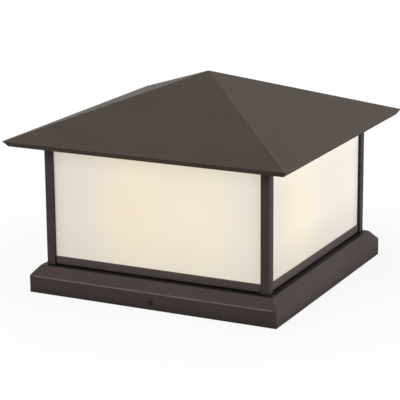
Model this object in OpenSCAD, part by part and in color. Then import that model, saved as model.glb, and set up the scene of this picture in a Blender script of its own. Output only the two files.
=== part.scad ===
// Outdoor post light: a low square lantern with a hipped roof, etched panes and a chamfered base.
// The origin is the middle of the underside, which stands on a post or pier. +Z is up, -Y is the front.

/* [Base] */
// Width of the base across its upright faces
base_w = 363; // [350:1:380]
// Height of the base's upright face
base_face_h = 22.8; // [20:0.2:26]
// How far the base's chamfer comes in
chamfer_run = 11.5; // [9:0.5:14]
// How far the base's chamfer climbs
chamfer_rise = 13.4; // [12.5:0.1:16]
// Wall of the cast base
base_wall = 3; // [2.5:0.1:3.5]
// Radius of the base's upright corners
base_corner_r = 2.5; // [2:0.5:6]
// Width of the ledge on top of the base, from the chamfer inwards
base_ledge = 34; // [30:1:38]

/* [Base screws] */
// Thread diameter of the screws in the base's front and rear
side_screw_d = 5; // [4:0.5:6]
// Head diameter of the base screws
side_head_d = 9.5; // [8:0.5:11]
// Head height of the base screws
side_head_h = 2.7; // [2:0.1:3.5]
// Key size of the base screws
side_key = 3; // [2.5:0.5:4]
// Diameter of the tapped boss behind each base screw
boss_d = 12; // [10:0.5:14]
// Length of the tapped boss behind each base screw
boss_len = 7; // [5:0.5:8]

/* [Cage] */
// Distance from the chamfer's top edge in to the faces of the posts
cage_set_in = 6.5; // [4:0.5:9]
// Height of the corner posts
cage_h = 167; // [150:1:185]
// Leg width of the angle that makes a corner post
post_leg = 12.5; // [11:0.5:15]
// Thickness of a corner post's legs
post_t = 4.5; // [3.5:0.1:5]
// Height of the rails
rail_h = 10.5; // [9:0.5:14]
// Thickness of the rails
rail_t = 2.2; // [1.8:0.1:3]
// Depth of a rail's shelf behind the pane's outer face
rail_shelf = 14; // [13:0.5:16]
// Gap between the base and the bottom rails
rail_gap = 2; // [1.5:0.1:3]
// Thread diameter of the screws under the posts
foot_screw_d = 4; // [3:0.5:4.5]

/* [Panes] */
// Thickness of the glass
glass_t = 3; // [2.5:0.5:4]
// Gap between a pane's edge and the metal round it
glass_gap = 0.3; // [0.2:0.1:0.6]
// Width of a glass clip
clip_w = 14; // [10:1:18]
// Height of a glass clip's tongue
clip_h = 9; // [7:0.5:12]
// Sheet thickness of a glass clip
clip_t = 0.8; // [0.6:0.1:1]
// Distance of the glass clips from the middle of a side
clip_x = 90; // [70:1:100]
// Thread diameter of the clip screws
clip_screw_d = 3; // [2.5:0.5:3.5]

/* [Roof] */
// Overhang of the eaves past the posts
overhang = 39.5; // [34:0.5:46]
// Height of the eave's edge above the posts
eave_lift = 7; // [6:0.5:10]
// Height of the folded fascia
fascia_drop = 7.7; // [6:0.1:9]
// How far the fascia folds in
fascia_in = 6; // [4:0.5:8]
// Rise of the roof from its eave to its peak
roof_rise = 75; // [65:1:85]
// Sheet thickness of the roof
roof_t = 2.2; // [1.8:0.1:3]
// Thickness of the ring welded under the roof
ring_t = 2.5; // [2:0.1:3]
// Thickness of the foam strip between the ring and the top rails
seal_t = 1.5; // [1:0.1:2.5]
// Distance of the roof screws from the middle of a side
roof_screw_x = 120; // [110:1:130]
// Thread diameter of the roof screws
roof_screw_d = 4; // [3:0.5:5]

/* [Mounting plate] */
// Thickness of the foam gasket on the pier
gasket_t = 2; // [1:0.5:3]
// Width of the foam gasket's strip
gasket_strip = 22; // [16:1:28]
// Sheet thickness of the mounting plate
plate_t = 2; // [1.5:0.1:2.5]
// Height of the mounting plate's turned up edges
flange_h = 18; // [16:0.5:20]
// Gap between the base's inner wall and the turned up edges
flange_gap = 9.5; // [9:0.5:12]
// Spacing of the four anchor holes, both ways
anchor_spacing = 230; // [210:5:250]
// Diameter of the anchor holes
anchor_hole_d = 8; // [6:0.5:10]
// Diameter of the hole that the supply comes up through
supply_hole_d = 22.2; // [20:0.1:28]

/* [Lamp tray] */
// Width of the lamp tray
tray_w = 292; // [284:1:296]
// Sheet thickness of the lamp tray
tray_t = 1.2; // [1:0.1:1.6]
// Depth of the lamp tray's turned down edges
tray_edge = 7; // [5:0.5:8]
// Thread diameter of the earth screw
earth_screw_d = 4; // [3:0.5:5]
// Height of the stand-offs that carry the tray
standoff_h = 25; // [22:0.5:26]
// Width of the stand-offs across their flats
standoff_af = 10; // [8:0.5:12]
// Spacing of the stand-offs, both ways
standoff_spacing = 200; // [180:5:210]
// Width of the nuts on the stand-offs' studs, across their flats
nut_af = 8; // [7:0.5:10]
// Height of those nuts
nut_h = 4; // [3:0.5:5]
// Diameter of the stand-offs' studs
stud_d = 5; // [4:0.5:5.5]

/* [Lamps] */
// Distance between the two lamps
lamp_spacing = 104; // [90:1:120]
// Height of a lamp, from its tip contact to its top
lamp_h = 108; // [100:1:115]
// Diameter of a lamp's bulb
lamp_d = 60; // [55:1:66]
// Diameter of a lamp cap's thread
cap_d = 26.2; // [26:0.1:26.6]
// Height of a lamp cap
cap_h = 24; // [22:1:26]
// Height of a lamp's insulator and tip contact, below its cap
cap_lift = 5; // [4:0.5:6]
// Wall of a lamp's bulb
bulb_wall = 1; // [0.8:0.1:1.4]
// Thread pitch of cap and shell
thread_pitch = 3.6; // [3:0.1:4]
// Depth of the thread's waves
thread_depth = 0.6; // [0.4:0.1:0.8]
// Running gap between a lamp's cap and its screw shell
thread_gap = 0.3; // [0.2:0.1:0.5]
// Sheet thickness of the screw shell and the caps
shell_t = 0.5; // [0.4:0.1:0.7]
// Diameter of a lamp holder's body
holder_d = 40; // [37:1:44]
// Height of a lamp holder
holder_h = 40; // [36:1:44]
// Diameter of a lamp holder's foot
holder_foot_d = 54; // [52:1:58]
// Height of a lamp holder's foot
holder_foot_h = 5; // [4:0.5:7]
// Thickness of the floor that carries a holder's centre contact
holder_floor_t = 3; // [2:0.5:4]
// Height of the centre contact's spring
contact_rise = 2; // [1.6:0.2:3]
// Thread diameter of the holder screws
holder_screw_d = 3.5; // [3:0.5:4]

/* [Wiring] */
// Diameter of the lamp leads
lead_d = 2.6; // [2:0.1:3.2]
// Bend radius of the lamp leads
lead_bend = 6; // [5:0.5:8]
// Distance between the two leads of a lamp
lead_gap = 8; // [6:0.5:10]
// Length of the terminal block
block_l = 26; // [22:1:32]
// Width of the terminal block
block_w = 18; // [16:1:24]
// Height of the terminal block
block_h = 14; // [12:1:15]
// Diameter of the terminal block's screw wells
block_well_d = 3.6; // [3:0.1:4.5]
// Depth of the terminal block's screw wells
block_well = 3; // [2:0.5:4]

/* [Hidden] */
$fn = 64;
face_gap = 0.3;
screw_gap = 0.05;
hole_gap = 0.3;

base_half = base_w / 2;
base_top_half = base_half - chamfer_run;
base_h = base_face_h + chamfer_rise;
opening_half = base_top_half - base_ledge;
side_screw_z = base_face_h / 2;

cage_half = base_top_half - cage_set_in;
cage_top = base_h + cage_h;
pane_half = cage_half - post_t;
leg_inner = cage_half - post_leg;
rail_half = pane_half + rail_t;
bottom_rail_z = base_h + rail_gap;
pane_inner = pane_half - glass_t;
pane_bottom = bottom_rail_z + rail_t + glass_gap;
pane_top = cage_top - rail_t - glass_gap;
shelf_inner = pane_half - rail_shelf;
lug_mid = pane_half - (post_leg - post_t) / 2;
clip_screw_r = (pane_inner + shelf_inner) / 2;

roof_half = cage_half + overhang;
eave_z = cage_top + eave_lift;
lip_half = roof_half - fascia_in;
lip_z = eave_z - fascia_drop;
peak_z = eave_z + roof_rise;
roof_slope = roof_rise / roof_half;
roof_drop = roof_t * sqrt(1 + roof_slope * roof_slope);
ring_z = cage_top + seal_t;
ring_out = rail_half;
ring_in = shelf_inner;
roof_screw_r = clip_screw_r;

skirt_inner = base_half - base_wall;
plate_half = skirt_inner - flange_gap;
plate_z = gasket_t;
plate_top = plate_z + plate_t;
tray_z = plate_top + standoff_h;
tray_top = tray_z + tray_t;
holder_top = tray_top + holder_h;
shell_inner_r = cap_d / 2 + thread_gap;
shell_outer_r = shell_inner_r + thread_depth + shell_t;
holder_floor = holder_foot_h + holder_floor_t;
lamp_z = tray_top + holder_floor + contact_rise;
holder_screw_r = (holder_d + holder_foot_d) / 4;
lead_way_d = lead_gap + 2 * lead_d;

BRONZE = "#4a423e";
STEEL = "#b9bcc0";
WHITE = "#f3f1ea";
BRASS = "#c9a14a";
FOAM = "#33332f";

// The right side faces +X, and each other side is a quarter turn from it.
FRONT = -90;
RIGHT = 0;
REAR = 90;
LEFT = 180;
SIDES = [FRONT, RIGHT, REAR, LEFT];

module on_side(angle) {
    rotate([0, 0, angle]) children();
}

module on_all_sides() {
    for (angle = SIDES) on_side(angle) children();
}

module on_front_and_rear() {
    for (angle = [FRONT, REAR]) on_side(angle) children();
}

module on_all_corners(spacing) {
    for (x = [-1, 1], y = [-1, 1]) translate([x * spacing / 2, y * spacing / 2, 0]) children();
}

// A straight length of a section drawn as distance out from the middle against height.
module bar(length) {
    rotate([90, 0, 0]) linear_extrude(length, center = true) children();
}

// The quarter of the plan that belongs to the side at +X, up to the two mitre planes.
module mitre_wedge(reach, top) {
    linear_extrude(top) polygon([[0, 0], [reach, -reach], [reach, reach]]);
}

// A square ring of one section, mitred at its four corners.
module mitred_ring(reach, top) {
    on_all_sides() intersection() {
        bar(2 * reach) children();
        mitre_wedge(reach, top);
    }
}

module rounded_block(half, corner_r, height) {
    translate([-half, -half + corner_r, 0]) cube([2 * half, 2 * (half - corner_r), height]);
    translate([-half + corner_r, -half, 0]) cube([2 * (half - corner_r), 2 * half, height]);
    on_all_corners(2 * (half - corner_r)) cylinder(height, r = corner_r);
}

module square_plate(half, thickness) {
    translate([-half, -half, 0]) cube([2 * half, 2 * half, thickness]);
}

// A screw that points down, with the underside of its head at the origin.
module pan_screw(d, length) {
    head_d = 1.9 * d;
    head_h = 0.6 * d;
    slot_l = 1.2 * d;
    slot_w = 0.25 * d;
    translate([0, 0, -length]) cylinder(length, d = d);
    difference() {
        cylinder(head_h, d = head_d);
        for (a = [0, 90]) rotate([0, 0, a]) translate([-slot_l / 2, -slot_w / 2, head_h / 2])
            cube([slot_l, slot_w, head_h]);
    }
}

// A button head with a key socket. It points along -X, with its head's underside at the origin.
module button_screw(d, head_d, head_h, key, length) {
    dome_r = (head_d * head_d / 4 + head_h * head_h) / (2 * head_h);
    socket_floor = 0.4 * head_h;
    rotate([0, 90, 0]) {
        translate([0, 0, -length]) cylinder(length, d = d);
        difference() {
            intersection() {
                cylinder(head_h, d = head_d);
                translate([0, 0, head_h - dome_r]) sphere(r = dome_r);
            }
            translate([0, 0, socket_floor]) cylinder(head_h, d = key / cos(30), $fn = 6);
        }
    }
}

// Base

module base_section() {
    polygon([
        [base_half, 0],
        [base_half, base_face_h],
        [base_top_half, base_h],
        [opening_half, base_h],
        [opening_half, base_h - base_wall],
        [base_top_half - base_wall / 2, base_h - base_wall],
        [skirt_inner, base_face_h - base_wall / 2],
        [skirt_inner, 0]
    ]);
}

module base_skirt() {
    boss_end = skirt_inner - boss_len;
    color(BRONZE) difference() {
        union() {
            intersection() {
                mitred_ring(base_half, base_h) base_section();
                rounded_block(base_half, base_corner_r, base_h);
            }
            on_front_and_rear() translate([boss_end, 0, side_screw_z]) rotate([0, 90, 0])
                cylinder(boss_len + base_wall / 2, d = boss_d);
        }
        on_front_and_rear() translate([boss_end - 1, 0, side_screw_z]) rotate([0, 90, 0])
            cylinder(base_half, d = side_screw_d + 2 * screw_gap);
        on_all_corners(2 * lug_mid) cylinder(base_h + 1, d = foot_screw_d + 2 * hole_gap);
    }
}

module base_screws() {
    tip = plate_half + face_gap;
    color("#3a3633") on_front_and_rear() translate([base_half, 0, side_screw_z])
        button_screw(side_screw_d, side_head_d, side_head_h, side_key, base_half - tip);
}

// Cage

// A corner post is drawn for the corner at +X and +Y. A lug welded into its foot takes the screw below.
module post(angle) {
    lug_h = rail_gap + rail_t;
    weld = post_t / 2;
    lug_w = pane_half + weld - leg_inner;
    color(BRONZE) on_side(angle) difference() {
        union() {
            translate([0, 0, base_h]) linear_extrude(cage_h) polygon([
                [leg_inner, cage_half],
                [leg_inner, pane_half],
                [pane_half, pane_half],
                [pane_half, leg_inner],
                [cage_half, leg_inner],
                [cage_half, cage_half]
            ]);
            translate([leg_inner, leg_inner, base_h]) cube([lug_w, lug_w, lug_h]);
        }
        translate([lug_mid, lug_mid, base_h - 1]) cylinder(lug_h + 2, d = foot_screw_d + 2 * screw_gap);
    }
}

module foot_screws() {
    color(STEEL) on_all_corners(2 * lug_mid) translate([0, 0, base_h - base_wall]) mirror([0, 0, 1])
        pan_screw(foot_screw_d, base_wall + rail_gap + rail_t);
}

// A rail is an angle: an upright face in front of the pane and a shelf behind it, mitred at the corners.
module rail_section(face_low, shelf_low) {
    translate([pane_half, face_low]) square([rail_t, rail_h]);
    translate([shelf_inner, shelf_low]) square([rail_shelf + rail_t, rail_t]);
}

module rail_bar(face_low, shelf_low) {
    intersection() {
        bar(2 * leg_inner) rail_section(face_low, shelf_low);
        mitre_wedge(cage_half, cage_top + 1);
    }
}

module bottom_rail(angle) {
    color(BRONZE) on_side(angle) difference() {
        rail_bar(bottom_rail_z, bottom_rail_z);
        at_clips() translate([0, 0, bottom_rail_z - 1]) cylinder(rail_t + 2, d = clip_screw_d + 2 * screw_gap);
    }
}

module top_rail(angle) {
    shelf_low = cage_top - rail_t;
    color(BRONZE) on_side(angle) difference() {
        rail_bar(cage_top - rail_h, shelf_low);
        at_clips() translate([0, 0, shelf_low - 1]) cylinder(rail_t + 2, d = clip_screw_d + 2 * screw_gap);
        at_roof_screws() translate([0, 0, shelf_low - 1])
            cylinder(rail_t + 2, d = roof_screw_d + 2 * hole_gap);
    }
}

// Panes and their clips

module pane(angle) {
    width = 2 * (pane_inner - glass_gap);
    color("#efe6d2") on_side(angle) translate([pane_inner, -width / 2, pane_bottom])
        cube([glass_t, width, pane_top - pane_bottom]);
}

module at_clips() {
    for (y = [-clip_x, clip_x]) translate([clip_screw_r, y, 0]) children();
}

module clip_section() {
    square([pane_inner - shelf_inner, clip_t]);
    translate([pane_inner - shelf_inner - clip_t, 0]) square([clip_t, clip_h]);
}

module clip_pair() {
    difference() {
        for (y = [-clip_x, clip_x]) translate([shelf_inner, y, 0]) bar(clip_w) clip_section();
        at_clips() translate([0, 0, -1]) cylinder(clip_t + 2, d = clip_screw_d + 2 * hole_gap);
    }
}

module clips_at_both_rails() {
    on_all_sides() {
        translate([0, 0, bottom_rail_z + rail_t]) children();
        translate([0, 0, cage_top - rail_t]) mirror([0, 0, 1]) children();
    }
}

module glass_clips() {
    color(STEEL) clips_at_both_rails() clip_pair();
}

module clip_screws() {
    color(STEEL) clips_at_both_rails() at_clips() translate([0, 0, clip_t])
        pan_screw(clip_screw_d, clip_t + rail_t);
}

// Roof

// The sheet falls from the peak to the eave, where the fascia folds back under it.
module roof_section() {
    fascia = [roof_half - lip_half, eave_z - lip_z] / norm([roof_half - lip_half, eave_z - lip_z]);
    lip_back = [lip_half, lip_z] + roof_t * [-fascia[1], fascia[0]];
    under_peak = peak_z - roof_drop;
    run = (under_peak - lip_back[0] * roof_slope - lip_back[1]) / (fascia[1] + fascia[0] * roof_slope);
    polygon([
        [0, peak_z],
        [roof_half, eave_z],
        [lip_half, lip_z],
        lip_back,
        lip_back + run * fascia,
        [0, under_peak]
    ]);
}

module roof_cap() {
    color(BRONZE) mitred_ring(roof_half, peak_z + 1) roof_section();
}

// The ring is an angle whose flange seats on the top rails and whose wall carries the roof.
module roof_ring_section() {
    wall_out = ring_in + ring_t;
    under_peak = peak_z - roof_drop - screw_gap;
    polygon([
        [ring_in, ring_z],
        [ring_out, ring_z],
        [ring_out, ring_z + ring_t],
        [wall_out, ring_z + ring_t],
        [wall_out, under_peak - wall_out * roof_slope],
        [ring_in, under_peak - ring_in * roof_slope]
    ]);
}

module at_roof_screws() {
    for (y = [-roof_screw_x, roof_screw_x]) translate([roof_screw_r, y, 0]) children();
}

module roof_ring() {
    color(BRONZE) difference() {
        mitred_ring(ring_out, peak_z) roof_ring_section();
        on_all_sides() at_roof_screws() translate([0, 0, ring_z - 1])
            cylinder(ring_t + 2, d = roof_screw_d + 2 * screw_gap);
    }
}

module roof_seal() {
    color(FOAM) difference() {
        mitred_ring(rail_half, ring_z) translate([shelf_inner, cage_top]) square([rail_half - shelf_inner, seal_t]);
        on_all_sides() at_roof_screws() translate([0, 0, cage_top - 1])
            cylinder(seal_t + 2, d = roof_screw_d + 2 * hole_gap);
        on_all_sides() at_clips() translate([0, 0, cage_top - 1])
            cylinder(seal_t + 2, d = clip_screw_d + 2 * hole_gap);
    }
}

module roof_screws() {
    color(STEEL) on_all_sides() at_roof_screws() translate([0, 0, cage_top - rail_t]) mirror([0, 0, 1])
        pan_screw(roof_screw_d, rail_t + seal_t + ring_t);
}

// Mounting plate and tray

module pier_gasket() {
    color(FOAM) difference() {
        square_plate(plate_half, gasket_t);
        translate([0, 0, -1]) square_plate(plate_half - gasket_strip, gasket_t + 2);
    }
}

module mounting_plate() {
    corner_relief = 4 * plate_t;
    edge_l = 2 * (plate_half - corner_relief);
    color(STEEL) difference() {
        union() {
            translate([0, 0, plate_z]) square_plate(plate_half, plate_t);
            on_all_sides() translate([plate_half - plate_t, -edge_l / 2, plate_z])
                cube([plate_t, edge_l, flange_h]);
        }
        translate([0, 0, plate_z - 1]) cylinder(plate_t + 2, d = supply_hole_d);
        on_all_corners(anchor_spacing) translate([0, 0, plate_z - 1])
            cylinder(plate_t + 2, d = anchor_hole_d);
        at_earth_screw() translate([0, 0, -1 - plate_t])
            cylinder(plate_t + 2, d = earth_screw_d + 2 * screw_gap);
    }
}

module at_earth_screw() {
    translate([-standoff_spacing / 2, -standoff_spacing / 4, plate_top]) children();
}

module earth_screw() {
    color("#3f7a46") at_earth_screw() pan_screw(earth_screw_d, plate_t);
}

module tray_standoffs() {
    stud_proud = 1;
    color(STEEL) on_all_corners(standoff_spacing) translate([0, 0, plate_top]) {
        cylinder(standoff_h, d = standoff_af / cos(30), $fn = 6);
        cylinder(standoff_h + tray_t + nut_h + stud_proud, d = stud_d);
    }
}

module tray_nuts() {
    color(STEEL) on_all_corners(standoff_spacing) translate([0, 0, tray_top]) difference() {
        cylinder(nut_h, d = nut_af / cos(30), $fn = 6);
        translate([0, 0, -1]) cylinder(nut_h + 2, d = stud_d + 2 * screw_gap);
    }
}

module lamp_tray() {
    half = tray_w / 2;
    color(WHITE) difference() {
        union() {
            translate([0, 0, tray_z]) square_plate(half, tray_t);
            on_all_sides() translate([half - tray_t, -half, tray_top - tray_edge])
                cube([tray_t, 2 * half, tray_edge]);
        }
        translate([0, 0, tray_z - 1]) {
            on_all_corners(standoff_spacing) cylinder(tray_t + 2, d = stud_d + 2 * hole_gap);
            at_lamps() cylinder(tray_t + 2, d = lead_way_d);
            at_lamps() at_holder_screws() cylinder(tray_t + 2, d = holder_screw_d + 2 * screw_gap);
        }
    }
}

// Lamp holders and lamps

module at_lamp(side) {
    translate([side * lamp_spacing / 2, 0, 0]) children();
}

module at_lamps() {
    for (side = [-1, 1]) at_lamp(side) children();
}

module at_holder_screws() {
    for (y = [-holder_screw_r, holder_screw_r]) translate([0, y, 0]) children();
}

// Radius of a thread's waves at a height, from its crest inwards.
function wave(crest_r, z) = crest_r - thread_depth * (0.5 - 0.5 * cos(360 * z / thread_pitch));
WAVE_STEP = thread_pitch / 6;
function wave_side(crest_r, low, high) = [for (z = [low:WAVE_STEP:high]) [wave(crest_r, z - low), z]];
function reversed(points) = [for (i = [len(points) - 1:-1:0]) points[i]];

// The holder's body has a flat beside each screw, where the screw's head seats on the foot.
module lamp_holder(side) {
    rim = 2;
    seat_d = 2 * holder_screw_d + 1;
    color("#ece8de") at_lamp(side) translate([0, 0, tray_top]) difference() {
        union() {
            cylinder(holder_foot_h, d = holder_foot_d);
            cylinder(holder_h - rim, d = holder_d);
            translate([0, 0, holder_h - rim]) cylinder(rim, d1 = holder_d, d2 = holder_d - 1.5 * rim);
        }
        translate([0, 0, holder_floor]) cylinder(holder_h, r = shell_outer_r + screw_gap);
        translate([0, 0, -1]) cylinder(holder_foot_h + 1, d = lead_way_d);
        at_holder_screws() {
            translate([0, 0, -1]) cylinder(holder_foot_h + 2, d = holder_screw_d + 2 * hole_gap);
            translate([0, 0, holder_foot_h]) cylinder(holder_h, d = seat_d);
        }
    }
}

module screw_shell(side) {
    rim_gap = 4;
    low = tray_top + holder_floor;
    high = holder_top - rim_gap;
    inner = wave_side(shell_inner_r + thread_depth, low, high);
    color(BRASS) at_lamp(side) rotate_extrude() polygon(concat(
        [[shell_outer_r, low], [shell_outer_r, inner[len(inner) - 1][1]]], reversed(inner)));
}

// Each contact is a strip folded over on itself, just clear of the lamp's tip.
module centre_contacts() {
    strip_l = 9;
    strip_w = 6;
    strip_t = 0.6;
    fold_h = contact_rise - 0.2;
    color(BRASS) at_lamps() translate([-strip_l / 2, -strip_w / 2, tray_top + holder_floor]) {
        cube([strip_l, strip_w, strip_t]);
        cube([strip_t, strip_w, fold_h]);
        translate([0, 0, fold_h - strip_t]) cube([strip_l, strip_w, strip_t]);
    }
}

module holder_screws() {
    color(STEEL) at_lamps() at_holder_screws() translate([0, 0, tray_top + holder_foot_h])
        pan_screw(holder_screw_d, holder_foot_h + tray_t);
}

// The bulb's neck stands in the cap, leaves it upright and meets the globe along its tangent.
NECK_STEPS = 8;
GLOBE_STEPS = 16;
GLOBE_START = -35;
lamp_r = lamp_d / 2;
globe_z = lamp_h - lamp_r;
neck_r = cap_d / 2 - thread_depth - shell_t;
neck_seat = 4;
neck_z = cap_lift + cap_h - neck_seat;
tip_h = 1.5;
tip_r = 4;
function mix3(a, b, c, d, t) =
    pow(1 - t, 3) * a + 3 * t * pow(1 - t, 2) * b + 3 * t * t * (1 - t) * c + pow(t, 3) * d;
function neck_point(t, wall) = let (
        start = [neck_r - wall, neck_z + neck_seat],
        end = [(lamp_r - wall) * cos(GLOBE_START), globe_z + (lamp_r - wall) * sin(GLOBE_START)],
        pull = 0.4 * (end[1] - start[1]),
        along = [-sin(GLOBE_START), cos(GLOBE_START)] * pull
    ) mix3(start, start + [0, pull], end - along, end, t);
function bulb_side(wall) = concat(
    [[neck_r - wall, neck_z]],
    [for (i = [0:NECK_STEPS - 1]) neck_point(i / NECK_STEPS, wall)],
    [for (i = [0:GLOBE_STEPS]) let (a = GLOBE_START + (90 - GLOBE_START) * i / GLOBE_STEPS)
        [(lamp_r - wall) * cos(a), globe_z + (lamp_r - wall) * sin(a)]]);

module lamp_bulb(side) {
    color("#fff6e0") at_lamp(side) translate([0, 0, lamp_z])
        rotate_extrude() polygon(concat(bulb_side(0), reversed(bulb_side(bulb_wall))));
}

module lamp_cap(side) {
    outer = wave_side(cap_d / 2, cap_lift, cap_lift + cap_h);
    top = outer[len(outer) - 1][1];
    color(BRASS) at_lamp(side) translate([0, 0, lamp_z]) rotate_extrude() polygon(concat(
        outer, [[neck_r, top], [neck_r, cap_lift]]));
}

module lamp_insulator(side) {
    plug_h = 2;
    shoulder_r = neck_r - 1.5;
    color("#26221f") at_lamp(side) translate([0, 0, lamp_z]) rotate_extrude() polygon([
        [0, tip_h],
        [tip_r, tip_h],
        [shoulder_r, cap_lift],
        [neck_r, cap_lift],
        [neck_r, cap_lift + plug_h],
        [0, cap_lift + plug_h]
    ]);
}

module lamp_tip(side) {
    color(STEEL) at_lamp(side) translate([0, 0, lamp_z]) cylinder(tip_h, r1 = tip_r - tip_h, r2 = tip_r);
}

// Wiring

block_z = tray_z - block_h;
lead_z = block_z + block_h / 2;

module terminal_block() {
    screw_x = block_l / 4;
    color("#e6e2d6") difference() {
        translate([-block_l / 2, -block_w / 2, block_z]) cube([block_l, block_w, block_h]);
        for (x = [-screw_x, screw_x], y = [-lead_gap / 2, lead_gap / 2])
            translate([x, y, block_z - 1]) cylinder(block_well + 1, d = block_well_d);
        for (y = [-lead_gap / 2, lead_gap / 2]) translate([0, y, lead_z]) rotate([0, 90, 0])
            cylinder(block_l + 2, d = lead_d + 2 * screw_gap, center = true);
    }
}

// A lead drops from its lamp holder, turns, and runs along X into the terminal block.
module lamp_leads() {
    drop_top = tray_top + holder_foot_h - screw_gap;
    run_start = lamp_spacing / 2 - lead_bend;
    run_end = block_l / 4;
    for (side = [0, 180], y = [-1, 1]) color(y > 0 ? "#2a2a2a" : "#f0eee8")
        rotate([0, 0, side]) translate([0, y * lead_gap / 2, 0]) {
            translate([lamp_spacing / 2, 0, lead_z + lead_bend])
                cylinder(drop_top - lead_z - lead_bend, d = lead_d);
            translate([run_start, 0, lead_z + lead_bend]) rotate([-90, 0, 0])
                rotate_extrude(angle = 90) translate([lead_bend, 0]) circle(d = lead_d);
            translate([run_end, 0, lead_z]) rotate([0, 90, 0]) cylinder(run_start - run_end, d = lead_d);
        }
}

pier_gasket();
mounting_plate();
tray_standoffs();
lamp_tray();
tray_nuts();
lamp_holder(-1);  // left_lamp_holder
lamp_holder(1);  // right_lamp_holder
screw_shell(-1);  // left_screw_shell
screw_shell(1);  // right_screw_shell
centre_contacts();
holder_screws();
terminal_block();
lamp_leads();
earth_screw();
lamp_bulb(-1);  // left_lamp_bulb
lamp_cap(-1);  // left_lamp_cap
lamp_insulator(-1);  // left_lamp_insulator
lamp_tip(-1);  // left_lamp_tip
lamp_bulb(1);  // right_lamp_bulb
lamp_cap(1);  // right_lamp_cap
lamp_insulator(1);  // right_lamp_insulator
lamp_tip(1);  // right_lamp_tip
base_skirt();
base_screws();
post(LEFT);  // front_left_post
post(FRONT);  // front_right_post
post(RIGHT);  // rear_right_post
post(REAR);  // rear_left_post
bottom_rail(FRONT);  // front_bottom_rail
bottom_rail(RIGHT);  // right_bottom_rail
bottom_rail(REAR);  // rear_bottom_rail
bottom_rail(LEFT);  // left_bottom_rail
top_rail(FRONT);  // front_top_rail
top_rail(RIGHT);  // right_top_rail
top_rail(REAR);  // rear_top_rail
top_rail(LEFT);  // left_top_rail
pane(FRONT);  // front_pane
pane(RIGHT);  // right_pane
pane(REAR);  // rear_pane
pane(LEFT);  // left_pane
glass_clips();
clip_screws();
foot_screws();
roof_seal();
roof_ring();
roof_screws();
roof_cap();
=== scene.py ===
"""Outdoor post light with a hipped roof and lit panes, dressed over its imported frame."""
import math

import bmesh
import bpy
from mathutils import Matrix, Vector


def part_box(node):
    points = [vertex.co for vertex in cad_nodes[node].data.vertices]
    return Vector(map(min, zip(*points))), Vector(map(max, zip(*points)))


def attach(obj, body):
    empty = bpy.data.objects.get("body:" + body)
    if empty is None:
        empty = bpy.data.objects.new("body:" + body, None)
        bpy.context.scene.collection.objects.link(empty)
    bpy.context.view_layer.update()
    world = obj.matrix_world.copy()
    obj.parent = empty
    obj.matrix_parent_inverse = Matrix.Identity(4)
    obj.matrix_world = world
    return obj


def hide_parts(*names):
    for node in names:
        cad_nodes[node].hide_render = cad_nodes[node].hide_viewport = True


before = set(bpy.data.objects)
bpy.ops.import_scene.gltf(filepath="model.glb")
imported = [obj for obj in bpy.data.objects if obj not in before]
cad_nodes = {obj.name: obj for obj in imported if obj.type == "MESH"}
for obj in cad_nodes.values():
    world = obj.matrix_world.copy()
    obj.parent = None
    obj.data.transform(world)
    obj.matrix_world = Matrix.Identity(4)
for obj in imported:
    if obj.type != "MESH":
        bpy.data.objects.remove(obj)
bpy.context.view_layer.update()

MM = 0.001
TOUCH = 0.01 * MM
RIGHT, REAR, LEFT, FRONT = 0, 90, 180, -90
SIDES = {"right": RIGHT, "rear": REAR, "left": LEFT, "front": FRONT}
CORNERS = {"rear_right": RIGHT, "rear_left": REAR, "front_left": LEFT, "front_right": FRONT}


# Camera

# The photograph's lens, place and turn, solved from the light's own edges.
PHOTO_WIDTH = 400
FOCAL_PIXELS = 1748.8
CENTRE_PIXEL = 206.1
SENSOR_WIDTH = 36.0
EYE = Vector((1.0226, -2.0887, 0.7296))
AZIMUTH = math.radians(26.20)
DOWNWARD = math.radians(15.06)
ROLL = math.radians(-0.39)


def place_camera():
    data = bpy.data.cameras.new("Camera")
    data.sensor_width = SENSOR_WIDTH
    data.lens = FOCAL_PIXELS * SENSOR_WIDTH / PHOTO_WIDTH
    data.shift_x = (PHOTO_WIDTH / 2 - CENTRE_PIXEL) / PHOTO_WIDTH
    data.dof.use_dof = False
    camera = bpy.data.objects.new("Camera", data)
    bpy.context.scene.collection.objects.link(camera)
    turn = Matrix.Rotation(AZIMUTH, 4, "Z") @ Matrix.Rotation(math.pi / 2 - DOWNWARD, 4, "X")
    camera.matrix_world = Matrix.Translation(EYE) @ turn @ Matrix.Rotation(ROLL, 4, "Z")
    bpy.context.scene.camera = camera


# Materials

# A pattern whose features are one millimetre across repeats this often in a metre.
PER_MM = 1 / MM

# The mesh attribute that is 1 along the middle of a rounded edge and 0 on the flats beside it. It marks where
# the edge is lighter, for wear and a painted highlight.
EDGE_WEAR_AND_HIGHLIGHT = "edge_wear_and_highlight"

# A Mix node's sockets by number, because some of them share a name.
SHARE, NUMBER_A, NUMBER_B, COLOUR_A, COLOUR_B = 0, 2, 3, 6, 7
MIXED_NUMBER, MIXED_COLOUR = 0, 2

# Typical refractive indices: of paints, glazes and plastics, of opal lamp glass and of float glass.
COAT_IOR = 1.5
OPAL_IOR = 1.5
PANE_IOR = 1.52


def colour(code):
    """A hex sRGB colour as the linear values that Blender works in."""
    parts = [int(code[i:i + 2], 16) / 255 for i in (1, 3, 5)]
    return tuple(p / 12.92 if p <= 0.04045 else ((p + 0.055) / 1.055) ** 2.4 for p in parts) + (1.0,)


def add_node(tree, kind, sockets=None, **options):
    """Adds a node, sets its options, and sets or links its input sockets."""
    node = tree.nodes.new("ShaderNode" + kind)
    for option, value in options.items():
        setattr(node, option, value)
    for socket, value in (sockets or {}).items():
        if isinstance(value, bpy.types.NodeSocket):
            tree.links.new(value, node.inputs[socket])
        else:
            node.inputs[socket].default_value = value
    return node


def new_material(name):
    """An empty material with the piece's own coordinates."""
    material = bpy.data.materials.new(name)
    material.use_nodes = True
    tree = material.node_tree
    tree.nodes.clear()
    place = add_node(tree, "TexCoord").outputs["Object"]
    return material, tree, place


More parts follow.
